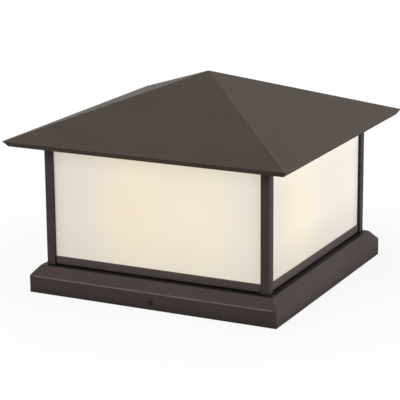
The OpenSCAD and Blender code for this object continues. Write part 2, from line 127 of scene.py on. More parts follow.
def painted_crevice_shade(tree, paint, reach, least, most):
    """Darkens a paint where neighbours close it in: painted shade on the ledge behind the rails and in
    sockets.

    reach is how far off a neighbour still shelters a place. Below the share least of open sky the painted
    shade is full, and above most there is none.
    """
    open_sky = add_node(tree, "AmbientOcclusion", {"Distance": reach}, samples=6)
    unshaded = add_node(
        tree, "MapRange", {"Value": open_sky.outputs["AO"], "From Min": least, "From Max": most})
    return add_node(
        tree, "Mix", {SHARE: unshaded.outputs[0], COLOUR_A: colour("#0c0a09"), COLOUR_B: paint},
        data_type="RGBA")


def powder_coat(name, dark, light):
    """Polyester powder baked on steel: a dry grain breaks up every highlight, and edges are lighter, for wear
    and a painted highlight.
    """
    material, tree, place = new_material(name)
    # The real grain is about 0.4 mm and would vanish here, so it is drawn at 1.3 mm.
    grain = add_node(
        tree, "TexNoise", {"Vector": place, "Scale": PER_MM / 1.3, "Detail": 3.0, "Roughness": 0.7})
    # The coat's thickness drifts over some 60 mm and shifts the shade a little.
    drift = add_node(
        tree, "TexNoise", {"Vector": place, "Scale": PER_MM / 60, "Detail": 2.0, "Roughness": 0.5})
    speck = add_node(tree, "MapRange", {
        "Value": grain.outputs["Fac"], "From Min": 0.35, "From Max": 0.65, "To Min": 0.25, "To Max": 0.75})
    shift = add_node(tree, "MapRange", {
        "Value": drift.outputs["Fac"], "From Min": 0.35, "From Max": 0.65, "To Min": -0.2, "To Max": 0.2})
    share = add_node(
        tree, "Math", {0: speck.outputs[0], 1: shift.outputs[0]}, operation="ADD", use_clamp=True)
    paint = add_node(
        tree, "Mix", {SHARE: share.outputs[0], COLOUR_A: colour(dark), COLOUR_B: colour(light)},
        data_type="RGBA")
    gloss = add_node(tree, "MapRange", {
        "Value": grain.outputs["Fac"], "From Min": 0.3, "From Max": 0.7, "To Min": 0.5, "To Max": 0.64})
    # Powder draws thin over an edge and handling polishes it, in patches about 14 mm long. The lighter colour
    # along the edges is wear and a painted highlight.
    edge = add_node(tree, "Attribute", attribute_name=EDGE_WEAR_AND_HIGHLIGHT)
    rub = add_node(tree, "TexNoise", {"Vector": place, "Scale": PER_MM / 14, "Detail": 2.0})
    rub = add_node(tree, "MapRange", {
        "Value": rub.outputs["Fac"], "From Min": 0.3, "From Max": 0.7, "To Min": 0.55, "To Max": 1.0})
    wear_highlight_share = add_node(
        tree, "Math", {0: edge.outputs["Fac"], 1: rub.outputs[0]}, operation="MULTIPLY", use_clamp=True)
    paint = add_node(tree, "Mix", {
        SHARE: wear_highlight_share.outputs[0], COLOUR_A: paint.outputs[MIXED_COLOUR], COLOUR_B: colour("#615755"),
    }, data_type="RGBA")
    gloss = add_node(tree, "Mix", {SHARE: wear_highlight_share.outputs[0], NUMBER_A: gloss.outputs[0], NUMBER_B: 0.38})
    # Painted shade darkens the coat where neighbours close it in, as on the ledge behind the rails.
    paint = painted_crevice_shade(tree, paint.outputs[MIXED_COLOUR], reach=22 * MM, least=0.4, most=0.8)
    relief = add_node(
        tree, "Bump", {"Height": grain.outputs["Fac"], "Strength": 0.35, "Distance": 0.12 * MM})
    shader = add_node(tree, "BsdfPrincipled", {
        "Base Color": paint.outputs[MIXED_COLOUR],
        "Roughness": gloss.outputs[MIXED_NUMBER],
        "Normal": relief.outputs[0],
        "IOR": COAT_IOR,
        # The grain shades itself, so the coat mirrors less than a smooth one would.
        "Specular IOR Level": 0.25,
        # The bronze flakes in the powder warm what it mirrors.
        "Specular Tint": colour("#fff5e6"),
    })
    add_node(tree, "OutputMaterial", {"Surface": shader.outputs["BSDF"]})
    return material


# Where the lamps' light falls on a pane, and how far up and down it spreads.
GLOW_HEIGHT = 119 * MM
GLOW_SPREAD_UP = 112 * MM
# The pane's half width, and how far in from each end the posts' inner legs still shade it.
PANE_HALF = 151 * MM
POST_SHADE = 16 * MM
# The pane's foot and top, and how far the tray's shade and the roof's light reach from them.
PANE_FOOT = 40.7 * MM
FOOT_TO = 100 * MM
LIFT_FROM = 160 * MM
PANE_TOP = 200.7 * MM
# How strongly the pane shines at its ends and at its top, against its middle.
END_LIGHT = 0.84
TOP_LIGHT = 1.18


def lamp_clouds(tree, axes, lobes, spread):
    """For each lamp behind the pane one soft oval of light, which is 1 at its middle."""
    up = add_node(tree, "Math", {0: axes.outputs["Z"], 1: GLOW_HEIGHT}, operation="SUBTRACT")
    up = add_node(tree, "Math", {0: up.outputs[0], 1: GLOW_SPREAD_UP}, operation="DIVIDE")
    up = add_node(tree, "Math", {0: up.outputs[0], 1: up.outputs[0]}, operation="MULTIPLY")
    clouds = []
    for centre in lobes:
        along = add_node(tree, "Math", {0: axes.outputs["Y"], 1: centre}, operation="SUBTRACT")
        along = add_node(tree, "Math", {0: along.outputs[0], 1: spread}, operation="DIVIDE")
        reach = add_node(
            tree, "Math", {0: along.outputs[0], 1: along.outputs[0], 2: up.outputs[0]},
            operation="MULTIPLY_ADD")
        fall = add_node(tree, "Math", {0: reach.outputs[0], 1: -1.0}, operation="MULTIPLY")
        clouds.append(add_node(tree, "Math", {0: fall.outputs[0]}, operation="EXPONENT").outputs[0])
    return clouds


def pane_strength(tree, axes, ends, foot_share):
    """How strongly the pane shines from place to place, clouds apart."""
    out = add_node(tree, "Math", {0: axes.outputs["Y"]}, operation="ABSOLUTE")
    strength = add_node(tree, "MapRange", {
        "Value": out.outputs[0], "From Min": PANE_HALF - POST_SHADE, "From Max": PANE_HALF,
        "To Min": 1.0, "To Max": END_LIGHT})
    factors = (
        # The lamps stand off the pane's middle, so one end is brighter.
        add_node(tree, "MapRange", {
            "Value": axes.outputs["Y"], "From Min": -PANE_HALF, "From Max": PANE_HALF,
            "To Min": ends[0], "To Max": ends[1]}),
        # The roof's pale underside throws light back on the top of the pane.
        add_node(tree, "MapRange", {
            "Value": axes.outputs["Z"], "From Min": LIFT_FROM, "From Max": PANE_TOP,
            "To Min": 1.0, "To Max": TOP_LIGHT}),
        # The lamps' holders and the tray stand in the way of the light to the foot of the pane.
        add_node(tree, "MapRange", {
            "Value": axes.outputs["Z"], "From Min": PANE_FOOT, "From Max": FOOT_TO,
            "To Min": foot_share, "To Max": 1.0}),
    )
    for factor in factors:
        strength = add_node(
            tree, "Math", {0: strength.outputs[0], 1: factor.outputs[0]}, operation="MULTIPLY")
    return strength


def lit_pane(name, angle, lobes, spread, ends, contrast, foot_share):
    """Float glass etched on its inner face: the lamps behind it show as one soft warm cloud."""
    material, tree, place = new_material(name)
    # Turned so that the pane faces +X, whichever side it stands on.
    turned = add_node(tree, "Mapping", {"Vector": place, "Rotation": (0, 0, math.radians(-angle))})
    axes = add_node(tree, "SeparateXYZ", {"Vector": turned.outputs[0]})
    clouds = lamp_clouds(tree, axes, lobes, spread)
    cloud = clouds[0]
    for other in clouds[1:]:
        cloud = add_node(tree, "Math", {0: cloud, 1: other}, operation="ADD").outputs[0]
    # Etching varies faintly over some 45 mm, so the cloud isn't a perfect oval.
    etch = add_node(tree, "TexNoise", {"Vector": place, "Scale": PER_MM / 45, "Detail": 2.0})
    uneven = add_node(tree, "MapRange", {
        "Value": etch.outputs["Fac"], "From Min": 0.3, "From Max": 0.7,
        "To Min": 0.93 * contrast, "To Max": 1.05 * contrast})
    cloud = add_node(tree, "Math", {0: cloud, 1: uneven.outputs[0]}, operation="MULTIPLY")
    cloud = add_node(tree, "Math", {0: cloud.outputs[0], 1: contrast}, operation="MINIMUM")
    glow = add_node(
        tree, "Mix", {SHARE: cloud.outputs[0], COLOUR_A: colour("#bcb6ad"), COLOUR_B: colour("#cec4ae")},
        data_type="RGBA")
    # Straight in front of the nearer lamp the light is warmer.
    heart = add_node(tree, "Math", {0: clouds[0], 1: clouds[0]}, operation="MULTIPLY")
    heart = add_node(tree, "Math", {0: heart.outputs[0], 1: contrast}, operation="MULTIPLY")
    glow = add_node(tree, "Mix", {
        SHARE: heart.outputs[0], COLOUR_A: glow.outputs[MIXED_COLOUR], COLOUR_B: colour("#d0c2a6"),
    }, data_type="RGBA")
    shader = add_node(tree, "BsdfPrincipled", {
        "Base Color": colour("#a5a19b"),
        "Roughness": 0.35,
        "IOR": PANE_IOR,
        "Emission Color": glow.outputs[MIXED_COLOUR],
        "Emission Strength": pane_strength(tree, axes, ends, foot_share).outputs[0],
    })
    add_node(tree, "OutputMaterial", {"Surface": shader.outputs["BSDF"]})
    return material


def etched_face():
    """The panes' inner face: frosted by acid to a fine, even matt, with a faint painted glow of the lamps'
    light.
    """
    material, tree, place = new_material("acid etched glass")
    # Real frost is finer than 0.1 mm; it is drawn at 1.2 mm.
    frost = add_node(
        tree, "TexNoise", {"Vector": place, "Scale": PER_MM / 1.2, "Detail": 4.0, "Roughness": 0.7})
    shade = add_node(
        tree, "Mix", {SHARE: frost.outputs["Fac"], COLOUR_A: colour("#cfccc4"), COLOUR_B: colour("#e6e3dc")},
        data_type="RGBA")
    relief = add_node(tree, "Bump", {"Height": frost.outputs["Fac"], "Strength": 0.3, "Distance": 0.05 * MM})
    shader = add_node(tree, "BsdfPrincipled", {
        "Base Color": shade.outputs[MIXED_COLOUR],
        "Roughness": 0.7,
        "Normal": relief.outputs[0],
        "IOR": PANE_IOR,
        # The frost glows faintly: painted light from the lamps.
        "Emission Color": colour("#8a8272"),
        "Emission Strength": 0.6,
    })
    add_node(tree, "OutputMaterial", {"Surface": shader.outputs["BSDF"]})
    return material


# The heights between which the lamp's glow rises from its dimmest to its full.
NECK_GLOW = 72 * MM
GLOBE_GLOW = 112 * MM


def lit_opal():
    """Opal lamp glass with its light on: an even warm white that hides the filament."""
    material, tree, place = new_material("lit opal glass")
    axes = add_node(tree, "SeparateXYZ", {"Vector": place})
    # The globe is brightest at its middle, and cooler and dimmer down its neck.
    height = add_node(
        tree, "MapRange", {"Value": axes.outputs["Z"], "From Min": NECK_GLOW, "From Max": GLOBE_GLOW})
    glow = add_node(
        tree, "Mix", {SHARE: height.outputs[0], COLOUR_A: colour("#d8b98a"), COLOUR_B: colour("#fff0cf")},
        data_type="RGBA")
    shader = add_node(tree, "BsdfPrincipled", {
        "Base Color": colour("#8f8c86"),
        "Roughness": 0.18,
        "IOR": OPAL_IOR,
        "Emission Color": glow.outputs[MIXED_COLOUR],
        "Emission Strength": 0.8,
    })
    add_node(tree, "OutputMaterial", {"Surface": shader.outputs["BSDF"]})
    return material


def zinc_plate():
    """Zinc-plated steel: bright, faintly blue, with the rolling marks of the sheet under the plate."""
    material, tree, place = new_material("zinc plated steel")
    # Rolling draws the marks out along the sheet. They are drawn 1.5 mm wide, and the plate's bloom 18 mm.
    drawn = add_node(tree, "Mapping", {"Vector": place, "Scale": (1.0, 0.06, 1.0)})
    lines = add_node(tree, "TexNoise", {"Vector": drawn.outputs[0], "Scale": PER_MM / 1.5, "Detail": 3.0})
    bloom = add_node(tree, "TexNoise", {"Vector": place, "Scale": PER_MM / 18, "Detail": 3.0})
    shade = add_node(
        tree, "Mix", {SHARE: bloom.outputs["Fac"], COLOUR_A: colour("#9a9da1"), COLOUR_B: colour("#c3c6ca")},
        data_type="RGBA")
    gloss = add_node(tree, "MapRange", {
        "Value": lines.outputs["Fac"], "From Min": 0.3, "From Max": 0.7, "To Min": 0.3, "To Max": 0.46})
    relief = add_node(
        tree, "Bump", {"Height": lines.outputs["Fac"], "Strength": 0.12, "Distance": 0.05 * MM})
    shader = add_node(tree, "BsdfPrincipled", {
        "Base Color": shade.outputs[MIXED_COLOUR],
        "Metallic": 1.0,
        "Roughness": gloss.outputs[0],
        "Normal": relief.outputs[0],
    })
    add_node(tree, "OutputMaterial", {"Surface": shader.outputs["BSDF"]})
    return material


def brass():
    """Rolled brass of the lamp caps and contacts, dulled by handling."""
    material, tree, place = new_material("rolled brass")
    # Fingers leave tarnish in spots of about 6 mm.
    tarnish = add_node(tree, "TexNoise", {"Vector": place, "Scale": PER_MM / 6, "Detail": 4.0})
    shade = add_node(tree, "Mix", {
        SHARE: tarnish.outputs["Fac"], COLOUR_A: colour("#a07f45"), COLOUR_B: colour("#d3b06a"),
    }, data_type="RGBA")
    gloss = add_node(tree, "MapRange", {
        "Value": tarnish.outputs["Fac"], "From Min": 0.3, "From Max": 0.7, "To Min": 0.4, "To Max": 0.24})
    shader = add_node(tree, "BsdfPrincipled", {
        "Base Color": shade.outputs[MIXED_COLOUR],
        "Metallic": 1.0,
        "Roughness": gloss.outputs[0],
    })
    add_node(tree, "OutputMaterial", {"Surface": shader.outputs["BSDF"]})
    return material


def coated(name, dark, light, grain_mm, roughness, depth_mm, strength=0.3, mirror=0.5, crevice_shade_mm=None):
    """A moulded, fired or sprayed surface: two near shades, one grain and its relief."""
    material, tree, place = new_material(name)
    grain = add_node(
        tree, "TexNoise", {"Vector": place, "Scale": PER_MM / grain_mm, "Detail": 3.0, "Roughness": 0.6})
    spread = add_node(
        tree, "MapRange", {"Value": grain.outputs["Fac"], "From Min": 0.35, "From Max": 0.65})
    shade = add_node(
        tree, "Mix", {SHARE: spread.outputs[0], COLOUR_A: colour(dark), COLOUR_B: colour(light)},
        data_type="RGBA")
    # Painted shade darkens the surface in hollows, such as the screw sockets, where a reach is given.
    if crevice_shade_mm:
        shade = painted_crevice_shade(tree, shade.outputs[MIXED_COLOUR], reach=crevice_shade_mm * MM, least=0.45, most=0.9)
    relief = add_node(
        tree, "Bump", {"Height": grain.outputs["Fac"], "Strength": strength, "Distance": depth_mm * MM})
    shader = add_node(tree, "BsdfPrincipled", {
        "Base Color": shade.outputs[MIXED_COLOUR],
        "Roughness": roughness,
        "Normal": relief.outputs[0],
        "IOR": COAT_IOR,
        "Specular IOR Level": mirror,
    })
    add_node(tree, "OutputMaterial", {"Surface": shader.outputs["BSDF"]})
    return material


def braided_sleeve():
    """Glass-fibre sleeving over the lamp leads: a tight diagonal braid with a silicone skin."""
    material, tree, place = new_material("braided sleeve")
    # Real braid is about 0.8 mm; it is drawn at 1.1 mm.
    weave = add_node(tree, "TexVoronoi", {"Vector": place, "Scale": PER_MM / 1.1, "Randomness": 0.25})
    shade = add_node(tree, "Mix", {
        SHARE: weave.outputs["Distance"], COLOUR_A: colour("#dcd6c6"), COLOUR_B: colour("#a39b88"),
    }, data_type="RGBA")
    relief = add_node(
        tree, "Bump", {"Height": weave.outputs["Distance"], "Strength": 0.4, "Distance": 0.15 * MM},
        invert=True)
    shader = add_node(tree, "BsdfPrincipled", {
        "Base Color": shade.outputs[MIXED_COLOUR],
        "Roughness": 0.6,
        "Normal": relief.outputs[0],
    })
    add_node(tree, "OutputMaterial", {"Surface": shader.outputs["BSDF"]})
    return material


def foam_rubber():
    """Closed-cell foam strip: dull, dark and pitted with cells that were cut open."""
    material, tree, place = new_material("closed cell foam")
    # Real cells are about 0.5 mm; they are drawn at 1.2 mm.
    cells = add_node(tree, "TexVoronoi", {"Vector": place, "Scale": PER_MM / 1.2})
    shade = add_node(tree, "Mix", {
        SHARE: cells.outputs["Distance"], COLOUR_A: colour("#1d1c1a"), COLOUR_B: colour("#36342f"),
    }, data_type="RGBA")
    relief = add_node(
        tree, "Bump", {"Height": cells.outputs["Distance"], "Strength": 0.6, "Distance": 0.3 * MM})
    shader = add_node(tree, "BsdfPrincipled", {
        "Base Color": shade.outputs[MIXED_COLOUR],
        "Roughness": 0.85,
        "Normal": relief.outputs[0],
    })
    add_node(tree, "OutputMaterial", {"Surface": shader.outputs["BSDF"]})
    return material


POWDER_COAT = powder_coat("bronze powder coat", "#392f27", "#453a31")
# The base and the posts are a shade cooler than the roof.
BASE_COAT = powder_coat("cool powder coat", "#392f2e", "#453a3a")
# The ledge's coat is darkened as painted shade, where the roof and the cage keep the light off it.
SHADED_LEDGE_COAT = powder_coat("ledge coat darkened for painted shade", "#1c1716", "#25201f")
# The rails' coat is a shade lighter as painted light, for the extra light that falls on them.
LIT_RAIL_COAT = powder_coat("rail coat lightened for painted light", "#4d4342", "#5c4f4e")
ETCHED_FACE = etched_face()
LIT_OPAL = lit_opal()
ZINC_PLATE = zinc_plate()
BRASS = brass()
REFLECTOR_PAINT = coated("white reflector paint", "#dddcd6", "#eceae4", 2.5, 0.32, 0.08)
PORCELAIN = coated("glazed porcelain", "#e2ddd0", "#eeeadf", 9.0, 0.12, 0.1, strength=0.15)
BLACK_VITRITE = coated("black vitrite", "#141210", "#1f1c19", 4.0, 0.15, 0.05)
IVORY_PLASTIC = coated("ivory moulded plastic", "#d6d0be", "#e2dccb", 1.5, 0.42, 0.06)
BLACKENED_STEEL = coated("blackened steel", "#332b27", "#3f3631", 1.5, 0.6, 0.05, mirror=0.2, crevice_shade_mm=4)
EARTH_GREEN = coated("green enamel", "#2c6336", "#377543", 1.5, 0.35, 0.05)
SLEEVE = braided_sleeve()
FOAM = foam_rubber()


# Modelling by hand

def only(piece):
    """Selects one piece and makes it the active one."""
    bpy.ops.object.select_all(action="DESELECT")
    piece.select_set(True)
    bpy.context.view_layer.objects.active = piece


def edit(piece):
    only(piece)
    bpy.ops.object.mode_set(mode="EDIT")


def leave_edit():
    bpy.ops.object.mode_set(mode="OBJECT")


def pick(piece, kind, passes):
    """In edit mode, selects only the piece's edges or faces whose middle passes."""
    bpy.ops.mesh.select_mode(type=kind)
    bpy.ops.mesh.select_all(action="DESELECT")
    mesh = bmesh.from_edit_mesh(piece.data)
    if kind == "EDGE":
        found = [e for e in mesh.edges if passes((e.verts[0].co + e.verts[1].co) / 2)]
    else:
        found = [f for f in mesh.faces if passes(f.calc_center_median())]
    for part in found:
        part.select_set(True)
    bmesh.update_edit_mesh(piece.data)


def near(a, b):
    return abs(a - b) < 0.2 * MM


def settle(piece):
    """Puts the piece's place into its mesh and leaves its object at the origin."""
    only(piece)
    bpy.ops.object.transform_apply(location=True, rotation=True, scale=True)


def face_outwards(piece):
    """Recalculates a closed or open shell's faces so that they point away from its inside."""
    edit(piece)
    bpy.ops.mesh.select_all(action="SELECT")
    bpy.ops.mesh.remove_doubles(threshold=TOUCH)
    bpy.ops.mesh.normals_make_consistent(inside=False)
    leave_edit()


def apply_modifier(piece, kind, **options):
    only(piece)
    modifier = piece.modifiers.new(kind.title(), kind)
    for option, value in options.items():
        setattr(modifier, option, value)
    bpy.ops.object.modifier_apply(modifier=modifier.name)


def mark_wear_and_highlight(piece, rounded, unmarked):
    """Marks the middle of the rounded edges for wear and a painted highlight: the corners that only the faces
    numbered here share.
    """
    marks = piece.data.attributes.get(EDGE_WEAR_AND_HIGHLIGHT) or piece.data.attributes.new(EDGE_WEAR_AND_HIGHLIGHT, "FLOAT", "POINT")
    flat = {corner for face in piece.data.polygons if face.index not in rounded for corner in face.vertices}
    for corner in piece.data.vertices:
        if corner.index not in flat and not (unmarked and unmarked(corner.co)):
            marks.data[corner.index].value = 1


def weigh_edges(piece, angle, shares):
    """Gives each sharp edge its share of the bevel's width, by the first test that its middle passes."""
    edit(piece)
    mesh = bmesh.from_edit_mesh(piece.data)
    weights = mesh.edges.layers.float
    layer = weights.get("bevel_weight_edge") or weights.new("bevel_weight_edge")
    for edge in mesh.edges:
        if len(edge.link_faces) != 2 or edge.calc_face_angle() < math.radians(angle):
            continue
        middle = (edge.verts[0].co + edge.verts[1].co) / 2
        edge[layer] = next(share for share, test in shares if test is None or test(middle))
    bmesh.update_edit_mesh(piece.data)
    leave_edit()


def round_edges(piece, width, segments=3, angle=25, wider=None, unmarked=None):
    """Breaks every sharp edge, marks it for wear and a painted highlight, and keeps the flats flat in the
    shading.

    wider lists pairs of a share and a test: the edges whose middle passes are rounded to that share of
    width, and all other sharp edges to the share that is listed under None. The last argument names the
    places that stay without wear and painted highlight.
    """
    piece.data.materials.clear()
    # Two empty finishes: the bevel gives the second one to the faces that it makes.
    piece.data.materials.append(None)
    piece.data.materials.append(None)
    options = {"limit_method": "ANGLE", "angle_limit": math.radians(angle)}
    if wider:
        weigh_edges(piece, angle, wider)
        options = {"limit_method": "WEIGHT"}
    apply_modifier(
        piece, "BEVEL", width=width, segments=segments, material=1, use_clamp_overlap=True,
        miter_outer="MITER_ARC", **options)
    mark_wear_and_highlight(piece, {face.index for face in piece.data.polygons if face.material_index == 1}, unmarked)
    piece.data.materials.clear()
    bpy.ops.object.shade_smooth()
    apply_modifier(piece, "WEIGHTED_NORMAL", weight=100, keep_sharp=False)


def finish(piece, name, body, slot, material, *replaced):
    """Names the piece, gives it its finish and sets it in place of its CAD nodes."""
    piece.name = name
    piece.data.name = name
    if material:
        piece.data.materials.clear()
        piece.data.materials.append(material)
    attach(piece, body)
    if replaced:
        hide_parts(*replaced)


def turned_copy(piece, angle):
    """A copy with its own mesh, turned about the light's upright axis."""
    copy = piece.copy()
    copy.data = piece.data.copy()
    bpy.context.scene.collection.objects.link(copy)
    copy.data.transform(Matrix.Rotation(math.radians(angle), 4, "Z"))
    return copy


def join(pieces):
    """Makes several pieces one, under the first one's name."""
    bpy.ops.object.select_all(action="DESELECT")
    for piece in pieces:
        piece.select_set(True)
    bpy.context.view_layer.objects.active = pieces[0]
    bpy.ops.object.join()
    return pieces[0]


# Roof

FASCIA_DROP = 7.7 * MM
FASCIA_IN = 6 * MM
ROOF_SHEET = 2.2 * MM
HIP_RADIUS = 0.8 * MM


def model_roof():
    """A four-sided cone whose rim is folded under into a fascia, then thickened to the sheet."""
    low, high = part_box("roof_cap")
    eave, peak, lip_z = high.x, high.z, low.z
    eave_z = lip_z + FASCIA_DROP
    lip = eave - FASCIA_IN
    bpy.ops.object.select_all(action="DESELECT")
    bpy.ops.mesh.primitive_cone_add(
        vertices=4, radius1=eave * math.sqrt(2), radius2=0, depth=peak - eave_z, end_fill_type="NOTHING",
        location=(0, 0, (peak + eave_z) / 2), rotation=(0, 0, math.radians(45)))
    roof = bpy.context.object
    settle(roof)
    edit(roof)
    pick(roof, "EDGE", lambda p: near(p.z, eave_z))
    bpy.ops.mesh.extrude_edges_move(TRANSFORM_OT_translate={"value": (0, 0, lip_z - eave_z)})
    bpy.ops.transform.resize(value=(lip / eave, lip / eave, 1), center_override=(0, 0, lip_z))
    leave_edit()
    face_outwards(roof)
    apply_modifier(roof, "SOLIDIFY", thickness=ROOF_SHEET, offset=-1, use_even_offset=True)

    def at_hip(p):
        return near(abs(p.x), abs(p.y)) and p.z > eave_z + 2 * MM

    def unmarked(p):
        return p.z > eave_z + 1 * MM

    # The hips are pressed a little rounder than the folds at the eaves. Only the folds at the eaves are
    # marked with wear and a painted highlight.
    round_edges(roof, HIP_RADIUS, wider=((1.0, at_hip), (0.5, None)), unmarked=unmarked)
    finish(roof, "hipped_roof", "housing", "bronze_powder_coat", POWDER_COAT, "roof_cap")


# Base

BASE_FACE = 22.8 * MM
BASE_CORNER = 2.5 * MM
BASE_WALL = 3 * MM
CHAMFER = 11.5 * MM
LEDGE = 34 * MM
BOSS_R = 6 * MM
BOSS_LENGTH = 7 * MM
# Where each wall is cut near its ends, and how far from each corner the edges stay without wear and painted
# highlight.
CORNER_FADE = 10 * MM
CORNER_UNMARKED = 7 * MM


def model_base():
    """A square rim drawn up into a wall, a chamfer and a ledge, with a screw boss in front and rear."""
    low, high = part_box("base_skirt")
    half, top = high.x, high.z
    top_half = half - CHAMFER
    opening = top_half - LEDGE
    bpy.ops.object.select_all(action="DESELECT")
    bpy.ops.mesh.primitive_plane_add(size=2 * half, location=(0, 0, 0))
    base = bpy.context.object
    settle(base)
    edit(base)
    bpy.ops.mesh.select_all(action="SELECT")
    bpy.ops.mesh.delete(type="ONLY_FACE")
    # The wall, the chamfer and the ledge: how far each rises, and its half width above and below.
    strips = ((BASE_FACE, half, half), (top - BASE_FACE, top_half, half), (0, opening, top_half))
    for rise, reach, was in strips:
        bpy.ops.mesh.select_all(action="DESELECT")
        rims = bmesh.from_edit_mesh(base.data)
        level = max(v.co.z for v in rims.verts)
        ring = min(v.co.x for v in rims.verts if near(v.co.z, level) and v.co.x > 0)
        pick(base, "EDGE", lambda p: near(p.z, level) and near(max(abs(p.x), abs(p.y)), ring))
        bpy.ops.mesh.extrude_edges_move(TRANSFORM_OT_translate={"value": (0, 0, rise)})
        bpy.ops.transform.resize(value=(reach / was, reach / was, 1), center_override=(0, 0, level + rise))
    # A cut across each wall near its ends lets the wear and painted highlight along the edges fade before the
    # corners.
    for place in (half - CORNER_FADE, CORNER_FADE - half):
        for across in ((1, 0, 0), (0, 1, 0)):
            bpy.ops.mesh.select_all(action="SELECT")
            bpy.ops.mesh.bisect(plane_co=(place, place, 0), plane_no=across)
    leave_edit()
    face_outwards(base)
    apply_modifier(base, "SOLIDIFY", thickness=BASE_WALL, offset=-1, use_even_offset=True)
    base = join([base, model_boss(half, FRONT), model_boss(half, REAR)])

    def at_upright(p):
        return near(abs(p.x), half) and near(abs(p.y), half)

    def at_chamfer_foot(p):
        return near(p.z, BASE_FACE) and near(max(abs(p.x), abs(p.y)), half)

    def at_mitre(p):
        return near(abs(p.x), abs(p.y)) and p.z > BASE_FACE and abs(p.x) > top_half

    def unmarked(p):
        by_corner = min(abs(p.x), abs(p.y)) > half - CORNER_UNMARKED
        return by_corner or p.z > BASE_FACE + 2 * MM or abs(p.x) > abs(p.y)

    # The upright corners are rounded most, and the rounding dies out up the chamfer's mitres. Only the lower
    # edges in front and at the rear, away from the corners, are marked with wear and a painted highlight.
    round_edges(
        base, BASE_CORNER, segments=5, angle=28, unmarked=unmarked,
        wider=((1.0, at_upright), (0.46, at_chamfer_foot), (0.3, at_mitre), (0.16, None)))
    finish(base, "chamfered_base", "housing", "bronze_powder_coat", BASE_COAT, "base_skirt")
    # The ledge's upward faces take the coat that is darkened for painted shade.
    base.data.materials.append(SHADED_LEDGE_COAT)
    for face in base.data.polygons:
        if near(face.center.z, top) and face.normal.z > 0.9:
            face.material_index = 1


def model_boss(half, angle):
    """One round screw boss on the inner side of the base's wall."""
    bpy.ops.object.select_all(action="DESELECT")
    length = BOSS_LENGTH + BASE_WALL / 2
    middle = half - BASE_WALL / 2 - length / 2
    bpy.ops.mesh.primitive_cylinder_add(
        vertices=32, radius=BOSS_R, depth=length, location=(middle, 0, BASE_FACE / 2),
        rotation=(0, math.pi / 2, 0))
    boss = bpy.context.object
    settle(boss)
    boss.data.transform(Matrix.Rotation(math.radians(angle), 4, "Z"))
    return boss


# Posts and rails

POST_WALL = 4.5 * MM
POST_CORNER = 1.5 * MM
RAIL_SHEET = 2.2 * MM
RAIL_EDGE = 0.35 * MM
# The lug for the foot screw, and how far it is set into the post's legs.
LUG_HEIGHT = 4.2 * MM
LUG_BITE = 2 * MM


def model_posts():
    """An angle drawn out of its outer corner into two legs, then pulled up to the roof."""
    low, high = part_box("rear_right_post")
    bpy.ops.object.select_all(action="DESELECT")
    middle = high.x - POST_WALL / 2
    bpy.ops.mesh.primitive_plane_add(size=POST_WALL, location=(middle, middle, low.z))
    post = bpy.context.object
    settle(post)
    edit(post)
    inner = high.x - POST_WALL
    leg = high.x - low.x - POST_WALL
    pick(post, "EDGE", lambda p: near(p.x, inner))
    bpy.ops.mesh.extrude_edges_move(TRANSFORM_OT_translate={"value": (-leg, 0, 0)})
    pick(post, "EDGE", lambda p: near(p.y, inner) and p.x > inner)
    bpy.ops.mesh.extrude_edges_move(TRANSFORM_OT_translate={"value": (0, -leg, 0)})
    bpy.ops.mesh.select_all(action="SELECT")
    bpy.ops.mesh.extrude_region_move(TRANSFORM_OT_translate={"value": (0, 0, high.z - low.z)})
    leave_edit()
    middle = inner + (LUG_BITE - leg) / 2
    bpy.ops.mesh.primitive_cube_add(size=1, location=(middle, middle, low.z + LUG_HEIGHT / 2))
    lug = bpy.context.object
    lug.scale = (leg + LUG_BITE, leg + LUG_BITE, LUG_HEIGHT)
    settle(lug)
    post = join([post, lug])
    face_outwards(post)

    def at_outer_corner(p):
        return near(p.x, high.x) and near(p.y, high.y)

    def at_foot(p):
        return near(p.z, low.z) and max(p.x, p.y) > inner + 1 * MM

    def unmarked(p):
        return min(p.x, p.y) > high.x - POST_CORNER or p.z < low.z + 2 * MM

    round_edges(
        post, POST_CORNER, segments=4, unmarked=unmarked,
        wider=((1.0, at_outer_corner), (0.8, at_foot), (0.3, None)))
    for name, angle in CORNERS.items():
        copy = turned_copy(post, angle)
        finish(copy, name + "_angle_post", "housing", "bronze_powder_coat", BASE_COAT, name + "_post")
    bpy.data.objects.remove(post)


